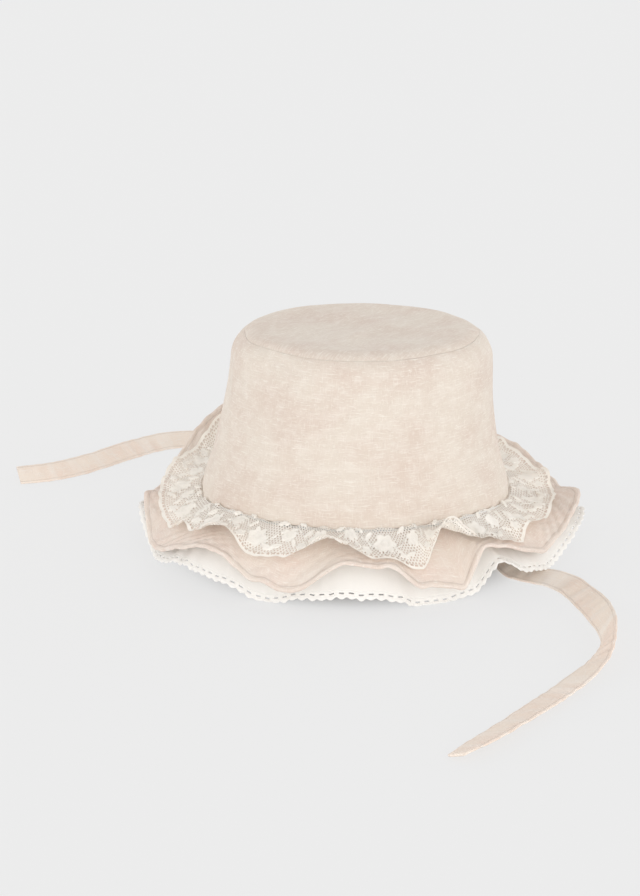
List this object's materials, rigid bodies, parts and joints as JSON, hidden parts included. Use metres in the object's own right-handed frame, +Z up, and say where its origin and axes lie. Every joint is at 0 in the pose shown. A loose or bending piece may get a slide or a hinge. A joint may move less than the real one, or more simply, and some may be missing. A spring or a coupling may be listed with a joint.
{
  "type": "baby hat",
  "caption": "Soft baby sun hat with a round flat-topped crown, a wavy brim of layered ruffles in lace, linen and picot-edged cotton, and loose chin ties.",
  "frame": {"origin": "on the surface the hat lies on, under the middle of the hat without its ties", "axes": "+Z up; the front of the hat faces -Y; the crown's axis is upright"},
  "size_m": [0.2991, 0.4238, 0.111],
  "materials": {
    "crown_tip": "plain linen weave",
    "crown_side": "plain linen weave",
    "lace_ruffle": "floral net lace",
    "brim_ruffle": "plain linen weave",
    "picot_ruffle": "fine cotton lawn",
    "tie_left": "plain linen weave",
    "tie_right": "plain linen weave"
  },
  "bodies": {
    "root": {"crown_tip": "crown_tip", "crown_side": "crown_side", "lace_ruffle": "lace_ruffle", "brim_ruffle": "brim_ruffle", "picot_ruffle": "picot_ruffle", "tie_left": "tie_left", "tie_right": "tie_right"}
  },
  "joints": []
}
